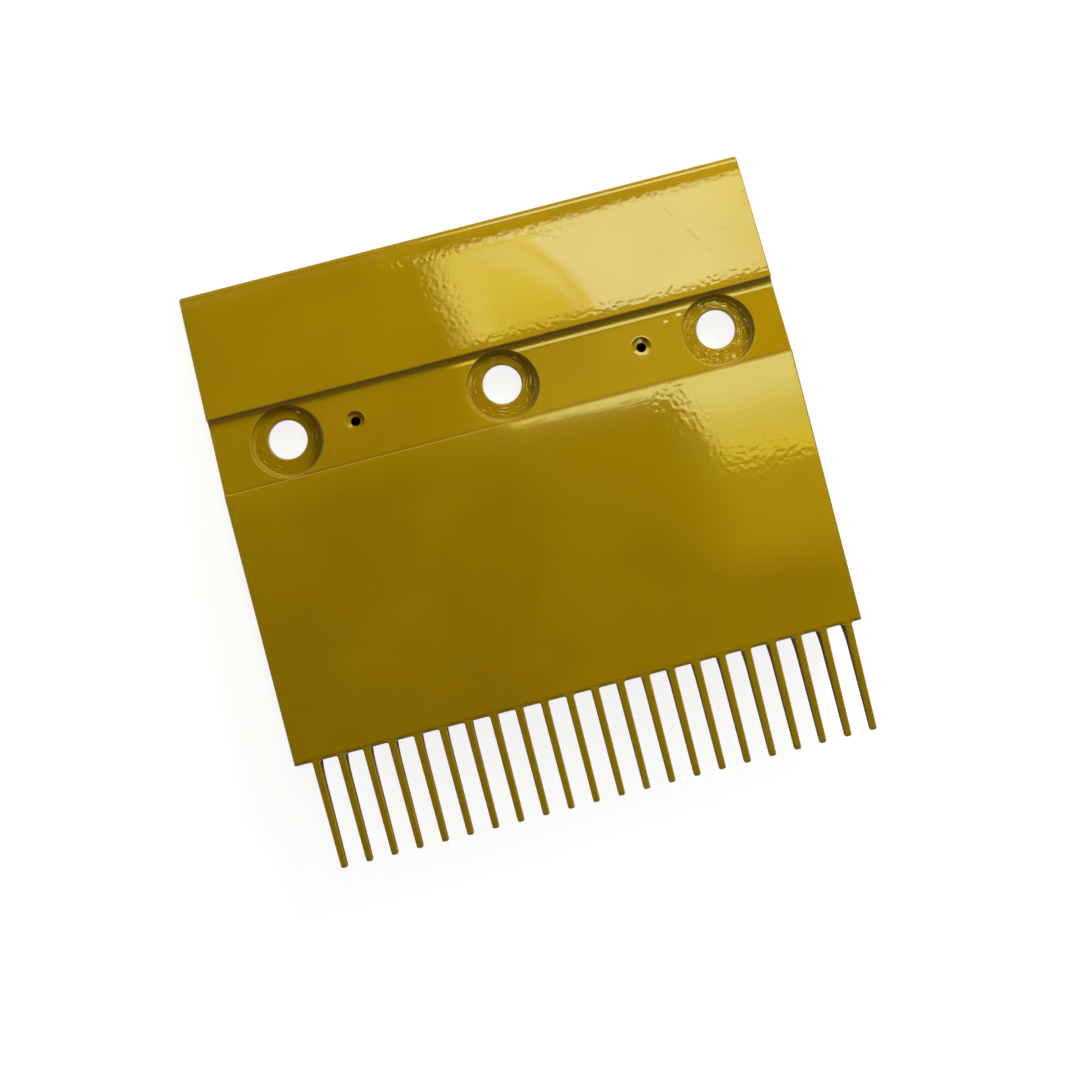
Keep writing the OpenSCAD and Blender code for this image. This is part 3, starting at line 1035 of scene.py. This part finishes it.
# %% Where a lamp is mirrored
def mirrored(x, y, height, surface="ramp"):
    """The place at the given height that the camera sees mirrored at x, y of the ramp or of the deck."""
    if surface == "ramp":
        point, normal = Vector((x, y, ramp_z)), Vector((0, 0, 1))
    else:
        point, normal = Vector((x, y, on_slope(deck_y, deck_front_z, y))), up_slope
    look = (point - camera.location).normalized()
    bounce = look - 2 * look.dot(normal) * normal
    return point + bounce * (height - point.z) / bounce.z


LAMP_H = 1200 * MM
print("deck corner looks at", [round(v / MM) for v in mirrored(right_x, back_y, LAMP_H, "deck")])

# %% [markdown]
# An area lamp gives an even light over its whole face. A softbox doesn't: its cloth is brighter in the middle,
# has folds and is cut off by its frame. So the lamp's Emission gets a colour and a strength from nodes, which
# only read the place on the lamp. The energy is set so that both stay plain numbers, however large the lamp is.


# %% Softbox
def area_lamp(name, width, depth, energy, place):
    """A rectangular lamp that looks down and that the camera doesn't see."""
    data = bpy.data.lights.new(name, "AREA")
    data.shape = "RECTANGLE"
    data.size, data.size_y, data.energy = width, depth, energy
    lamp = bpy.data.objects.new(name, data)
    bpy.context.scene.collection.objects.link(lamp)
    lamp.location = place
    lamp.visible_camera = False
    print(name, "lamp covers", round(width / MM), "by", round(depth / MM), "mm")
    return lamp


class Softbox(Nodes):
    """A lamp over the box from low to high, with the nodes for its glow."""

    def __init__(self, name, low, high):
        width, depth = high[0] - low[0], high[1] - low[1]
        middle = (low[0] + width / 2, low[1] + depth / 2, LAMP_H)
        data = area_lamp(name, width, depth, math.pi * width * depth, middle).data
        data.use_nodes = True
        super().__init__(data.node_tree, "ShaderNodeNewGeometry", "Position")
        self.x, self.y = self.parts()[:2]

    def glow(self, colour, strength):
        self.put(self.nodes["Emission"].inputs["Color"], colour)
        self.put(self.nodes["Emission"].inputs["Strength"], strength)

    def column(self, low, high, *ends):
        """A soft step from left to right between two places in millimetres."""
        return self.ramp(self.x, low * MM, high * MM, *ends)

    def row(self, low, high, *ends):
        """A soft step from front to back."""
        return self.ramp(self.y, low * MM, high * MM, *ends)

    def beside(self, a, b, soft):
        """1 on the right of the line from a to b on the lamp, 0 on its left."""
        line = Vector((b[0] - a[0], b[1] - a[1])).normalized()
        across_line = self.total(self.product(self.x, line.y), self.product(self.y, -line.x))
        offset = a[0] * line.y - a[1] * line.x
        return self.ramp(self.math("SUBTRACT", across_line, offset), -soft * MM, soft * MM)


# %% [markdown]
# The first softbox is mirrored in the deck. Its right part is nearly white. A curved smear and a wedge below it
# are yellow and weaker, as if the cloth hung in a fold there. Its lower edge ends in the deck just behind the
# riser's lip, its left end is slanted, and its far end fades, which the roll of the deck draws out.

# %% Lamp mirrored in the deck
def on_deck(x, y):
    """The place on the deck's softbox that is mirrored at x, y of the deck, in millimetres."""
    return mirrored(x * MM, y * MM, LAMP_H, "deck")


BRIGHT, RIGHT, UPPER, SIDE = (6.6, 7.1, 5.9, 1), (5.8, 6.2, 4.3, 1), (5.7, 5.8, 3.0, 1), (5.8, 5.6, 1.9, 1)
SMEAR, DIM, DIM_HIGH = (5.6, 5.0, 1.2, 1), (4.6, 4.1, 0.75, 1), (5.4, 5.0, 1.15, 1)
FAR_END = 250 * MM
SMEAR_AT, SMEAR_R = Vector((-109, 617, 1200)) * MM, 251 * MM
WEDGE_AT, WEDGE_R = Vector((-72, 569, 1200)) * MM, 222 * MM
SLANT = 0.25
FADE_START, FADE_END = 785 * MM, 980 * MM

corner_low, corner_high = on_deck(-24, 15), on_deck(118, 53)
box = Softbox("deck_softbox", (corner_low.x, corner_low.y), (corner_high.x, corner_high.y + FAR_END))
colour = box.mix(box.ramp(box.x, on_deck(80, 50).x, on_deck(98, 50).x), BRIGHT, RIGHT)
colour = box.mix(box.near_place(SMEAR_AT, SMEAR_R - 2 * MM, SMEAR_R + 3 * MM), colour, SMEAR)
colour = box.mix(box.near_place(SMEAR_AT, SMEAR_R - 14 * MM, SMEAR_R - 7 * MM), colour, UPPER)
wedge = box.mix(box.ramp(box.y, on_deck(20, 18).y, on_deck(20, 34).y), DIM, DIM_HIGH)
colour = box.mix(box.near_place(WEDGE_AT, WEDGE_R - 5 * MM, WEDGE_R + 5 * MM), colour, wedge)
side_x = on_deck(2, 36).x
colour = box.mix(box.ramp(box.x, side_x - 8 * MM, side_x + 14 * MM), SIDE, colour)
left = box.beside(on_deck(-9, 18), on_deck(-14, 50), 22)
lower = box.beside(on_deck(100, 15.6), on_deck(0, 15.5), 1.5)
slanted = box.math("SUBTRACT", box.y, box.product(box.x, SLANT))
upper = box.ramp(slanted, FADE_START, FADE_END, 1, 0)
box.glow(colour, box.product(left, lower, upper))

# %% [markdown]
# The second softbox is mirrored in the ramp, as a narrow band behind its rear edge that widens into a patch on
# the right and loses white and strength to the front, where only a veil is left. A dark gap follows, then the
# part that the rising strip before the riser shows as a streak, and last a faint veil over the channel floor.

# %% Lamp mirrored in the ramp
def on_ramp(x, y):
    return mirrored(x * MM, y * MM, LAMP_H)


TOP, MIDDLE, LOW, FAINT = (7.2, 7.2, 4.2, 1), (5.3, 5.1, 1.5, 1), (5.9, 5.0, 0.64, 1), (5.9, 4.0, 0.30, 1)
FOOT, VEIL, DEEP = (6.6, 6.8, 4.8, 1), (6.6, 6.3, 1.2, 1), (6.6, 5.8, 0.15, 1)
ROW_GLOW, FRONT_GLOW, FLOOR_GLINT = 0.12, 0.28, 0.11

box = Softbox("ramp_softbox", (-270 * MM, -180 * MM), (380 * MM, 664 * MM))
band = box.product(box.beside(on_ramp(50, -18.1), on_ramp(-9, -15.7), 3),
                   box.beside(on_ramp(-2, -30), on_ramp(-2, -10), 14))
right_patch = box.product(box.beside(on_ramp(66.9, -45.3), on_ramp(56.5, -19.2), 10),
                          box.beside(on_ramp(100, -50), on_ramp(60, -46), 8))
near_edge = box.highest(band, right_patch, box.row(15, 60, 0, ROW_GLOW))
near_edge = box.product(near_edge, box.row(58, 66, 1, 0))
veil = box.product(box.column(145, 230, 0, FRONT_GLOW), box.row(-175, -110), box.row(0, 10, 1, 0))
streak = box.product(box.row(310, 330), box.row(430, 470, 1, 0))
floor_veil = box.product(box.row(560, 580), box.column(150, 300, FLOOR_GLINT, 0))
behind = box.product(box.highest(streak, floor_veil), box.column(-35, -15))
colour = FAINT
for low, high, white in ((-62, -46, LOW), (-34, -6, MIDDLE), (-4, 40, TOP), (90, 110, FOOT), (500, 540, VEIL)):
    colour = box.mix(box.row(low, high), colour, white)
colour = box.mix(box.column(-60, 110), DEEP, colour)
box.glow(colour, box.highest(near_edge, veil, behind))

# %% [markdown]
# A small lamp beyond the right rear corner models the rims and casts the short soft shadow to the lower left.
# It isn't mirrored, because the photograph shows no third bright spot in the paint.

# %% Fill lamp
FILL_SIZE = 220 * MM
FILL_ENERGY = 1.2 * math.pi
FILL_AT = Vector((340, 320, 310)) * MM
FILL_AIM = Vector((0, -40, 0)) * MM

fill = area_lamp("fill", FILL_SIZE, FILL_SIZE, FILL_ENERGY, FILL_AT)
fill.rotation_euler = (FILL_AIM - FILL_AT).to_track_quat("-Z", "Y").to_euler()
fill.visible_glossy = False
print("fill lamp stands", round(fill.location.length / MM), "mm from the plate")

# %% [markdown]
# The rest of the light is the world: pale all round up to about 50 degrees, darker in front and nearly dark
# overhead, so that the paint keeps its deep colour between the mirrored lamps. Near the horizon the camera,
# gloss and glass see it as white, which is the background of the side views.

# %% World
AROUND, OVERHEAD = 0.665, 0.025
IN_FRONT, BEHIND = 0.38, 1.34

bpy.context.scene.view_settings.view_transform = "Standard"
world = bpy.data.worlds.new("studio")
bpy.context.scene.world = world
world.use_nodes = True
sky = Nodes(world.node_tree, "ShaderNodeTexCoord", "Generated")
sky_y, sky_z = sky.parts()[1:]
light = sky.product(sky.ramp(sky_z, 0.60, 0.78, AROUND, OVERHEAD),
                    sky.ramp(sky_y, -0.7, 0.7, IN_FRONT, BEHIND))
backdrop = sky.product(sky.seen(), sky.ramp(sky_z, 0.25, 0.35, 1, 0))
background = sky.nodes["Background"].inputs
sky.put(background["Color"], (1, 1, 1, 1))
sky.put(background["Strength"], sky.highest(light, backdrop))
print("nodes of the world:", len(sky.nodes))

# %% [markdown]
# The plate lies on a pale table on its heel and its rear edge, so the table leans a little against the plate's
# own frame. Seen by the camera or mirrored, the table adds a glow to its own pale colour, so that it is white
# and still keeps the plate's shadow. For the light that it sends back to the plate it is plain pale board.

# %% Floor
FLOOR_REACH = 3
FLOOR_GLOW = 0.87
BOARD, BOARD_SEEN = (0.9, 0.9, 0.9, 1), (0.3, 0.3, 0.3, 1)
heel_y = blade_y - HEEL_R
lean_floor = math.atan2(0 - cad_low.z, back_y - heel_y)

clear_selection()
bpy.ops.mesh.primitive_plane_add(size=2 * FLOOR_REACH, location=(0, back_y, -TINY))
floor = start_piece("floor")
for reach in (-FLOOR_REACH, FLOOR_REACH):
    move(floor, (0, 0, reach * math.tan(lean_floor)), at(back_y + reach))
board = Paint("floor_white")
board.set("Base Color", BOARD)
board.set("Roughness", 0.9)
board.set("Specular IOR Level", 0)
pale = board.add("BsdfDiffuse", {"Color": BOARD_SEEN})[0]
lift = board.add("Emission", {"Strength": FLOOR_GLOW})[0]
seen_floor = board.add("AddShader", {0: pale, 1: lift})[0]
choice = board.add("MixShader", {0: board.seen(), 1: board.shader.outputs[0], 2: seen_floor})[0]
board.put(board.nodes["Material Output"].inputs["Surface"], choice)
floor.data.materials.append(board.material)
print("the table leans", round(math.degrees(lean_floor), 2), "degrees")
